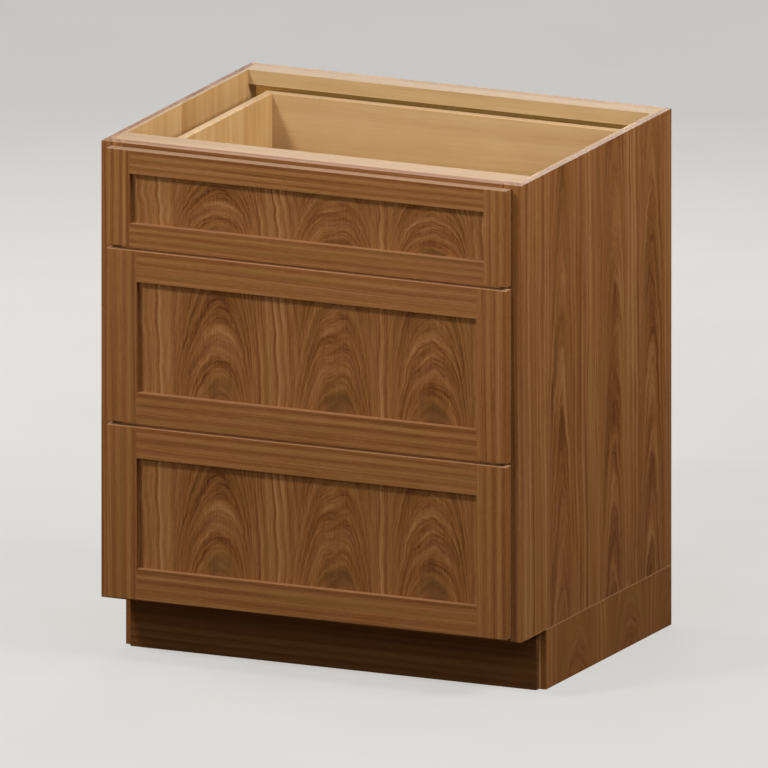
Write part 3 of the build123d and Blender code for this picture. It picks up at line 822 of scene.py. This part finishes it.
def fasten_back(screws, staples, finish):
    """The screws and staples that hold the back."""
    low, high = mm_box("back_panel")
    rail, floor = middle("back_stretcher")[0], middle("deck_panel")[0]
    heads = [((x, high[1] - BACK_HEAD_SUNK, z), BACKWARDS)
             for z in (rail[2], floor[2]) for x in BACK_SCREWS_ACROSS]
    fasten("back_screws", screws, "cabinet", heads, head_width=0.0082, head_height=0.0006, slot_depth=0.9,
           finish=finish)
    edge, first = high[0] - STAPLE_FROM_EDGE, low[2] + FIRST_STAPLE_UP
    crowns = [((side * edge, high[1] + CROWN_RAISED, first + STAPLES_APART * i), BACKWARDS)
              for side in (-1, 1) for i in range(STAPLES)]
    fasten("back_staples", staples, "cabinet", crowns, finish=finish)


set_camera()
dress_cabinet()
zinc, black = zinc_plate("bright_zinc_screws"), black_moulding()
screws, staples = screw_tree(), staple_tree()
fasten_back(screws, staples, zinc)
for drawer in DRAWERS:
    dress_drawer(drawer)
    fasten_drawer(drawer, screws, zinc)
    for member, first, apart in SLOTS:
        name = f"{drawer}_drawer_slide_{member}_members"
        centre, low, high = middle(name)
        dress(name, zinc_plate(name + "_zinc", (centre[2], low[1] + first, apart)))
    dress(f"{drawer}_drawer_slide_release_levers", black)


# ---------------------------------------------------------------- studio
WORLD_LIGHT = 0.14             # what the room gives the cabinet
WORLD_SHOWN = 0.545            # how pale the room looks, straight or in a reflection
WORLD_TINT = (1.0, 0.985, 0.955, 1.0)
FLOOR_SHOWN, FLOOR_EDGE_SHOWN = 1.25, 1.195
FLOOR_SHARE = 0.72             # how far the floor's own paleness stands over its light and shadow
FLOOR_RADIUS, FLOOR_EDGE_RADIUS, FLOOR_EDGE_DEPTH = 14.0, 1.15, 1.2
FLOOR_DARK, FLOOR_PALE, FLOOR_PALEST = (84, 74, 63), (196, 194, 190), (206, 205, 202)
RIM_POINTS = 96
CABINET_MIDDLE = (0.0, 0.0, 0.6)


def softbox(name, place, aim, width, height, power):
    """A soft rectangular lamp at place, which looks at aim and isn't seen itself."""
    lamp = bpy.data.lights.new(name, "AREA")
    lamp.shape, lamp.size, lamp.size_y, lamp.energy = "RECTANGLE", width, height, power
    made = bpy.data.objects.new(name, lamp)
    bpy.context.scene.collection.objects.link(made)
    place = Vector(place)
    made.location = place
    made.rotation_mode = "QUATERNION"
    made.rotation_quaternion = (place - Vector(aim)).to_track_quat("Z", "Y")
    made.visible_camera = False


def shown_ray(tree):
    """1 for a ray that shows the studio, straight or in a reflection, and 0 for one that gathers light."""
    paths = tree.nodes.new("ShaderNodeLightPath")
    rays = [Value(tree, paths.outputs[n]) for n in ("Is Camera Ray", "Is Glossy Ray", "Is Transmission Ray")]
    return (rays[0] + rays[1] + rays[2]).clamped()


def set_world():
    """The room: dim where it lights the cabinet, and pale where it shows."""
    world = bpy.data.worlds.new("studio")
    bpy.context.scene.world = world
    world.use_nodes = True
    tree = world.node_tree
    tree.nodes.clear()
    shown = shown_ray(tree)
    background = tree.nodes.new("ShaderNodeBackground")
    strength = WORLD_LIGHT + shown * (WORLD_SHOWN - WORLD_LIGHT)
    tree.links.new(strength.socket, background.inputs["Strength"])
    background.inputs["Color"].default_value = WORLD_TINT
    output = tree.nodes.new("ShaderNodeOutputWorld")
    tree.links.new(background.outputs[0], output.inputs["Surface"])


def circle(radius, height):
    """The points of a level circle."""
    turns = [2 * math.pi * i / RIM_POINTS for i in range(RIM_POINTS)]
    return [(radius * math.cos(turn), radius * math.sin(turn), height) for turn in turns]


def stage_piece(name, points, faces, f, surface):
    """A piece of the studio, with the surface as its paint's last node."""
    mesh = bpy.data.meshes.new(name)
    mesh.from_pydata(points, [], faces)
    piece = bpy.data.objects.new(name, mesh)
    bpy.context.scene.collection.objects.link(piece)
    f.node("ShaderNodeOutputMaterial", {}, {"Surface": f.out(surface)})
    mesh.materials.append(f.material)
    piece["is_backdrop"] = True


def set_floor():
    """A wide pale floor. It lights the cabinet from below as a dark one would, and keeps its shadow."""
    f = Finish("studio_floor_paint")
    shown = shown_ray(f.tree)
    speck = f.noise(*[c / 300.0 for c in f.place()], detail=3.0)
    pale = f.ramp(0.5 + speck * 0.5, (0.0, FLOOR_PALE), (1.0, FLOOR_PALEST))
    paint = f.node("ShaderNodeBsdfDiffuse", {}, {"Color": f.mix(shown, tone(*FLOOR_DARK), pale)})
    glow = f.node("ShaderNodeEmission", {}, {"Color": pale, "Strength": FLOOR_SHOWN})
    both = f.node("ShaderNodeMixShader", {}, {0: shown * FLOOR_SHARE, 1: f.out(paint), 2: f.out(glow)})
    stage_piece("studio_floor", circle(FLOOR_RADIUS, 0.0), [list(range(RIM_POINTS))], f, both)


def set_floor_edge():
    """A ring below the floor and as pale. A parallel view from low down starts below the floor."""
    f = Finish("studio_floor_edge_paint")
    glow = f.node("ShaderNodeEmission", {}, {"Color": tone(*FLOOR_PALEST), "Strength": FLOOR_EDGE_SHOWN})
    rim = circle(FLOOR_EDGE_RADIUS, -0.001) + circle(FLOOR_EDGE_RADIUS, -FLOOR_EDGE_DEPTH)
    walls = [(i, i + RIM_POINTS, (i + 1) % RIM_POINTS + RIM_POINTS, (i + 1) % RIM_POINTS)
             for i in range(RIM_POINTS)]
    stage_piece("studio_floor_edge", rim, walls, f, glow)


set_world()
set_floor()
set_floor_edge()
softbox("key_lamp", (-1.27, -2.53, 2.92), (1.2, 0.0, 2.2), 0.55, 0.55, 87.0)
softbox("right_fill", (2.6, -0.35, 2.5), (0.0, 0.0, 1.9), 1.2, 1.2, 86.0)
softbox("overhead_fill", (0.1, -0.8, 3.3), CABINET_MIDDLE, 1.8, 1.4, 15.0)
softbox("front_fill", (0.3, -3.5, 1.85), (0.0, 0.0, 1.6), 1.6, 0.9, 26.0)
softbox("low_fill", (0.0, -3.9, 0.85), (0.0, 0.0, 0.7), 1.8, 0.5, 12.0)
softbox("back_fill", (-1.1, 2.9, 1.66), CABINET_MIDDLE, 1.4, 0.8, 45.0)
softbox("left_fill", (-3.1, 0.75, 1.2), CABINET_MIDDLE, 1.6, 1.2, 52.0)

bpy.context.scene.view_settings.view_transform = "Standard"

low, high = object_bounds()
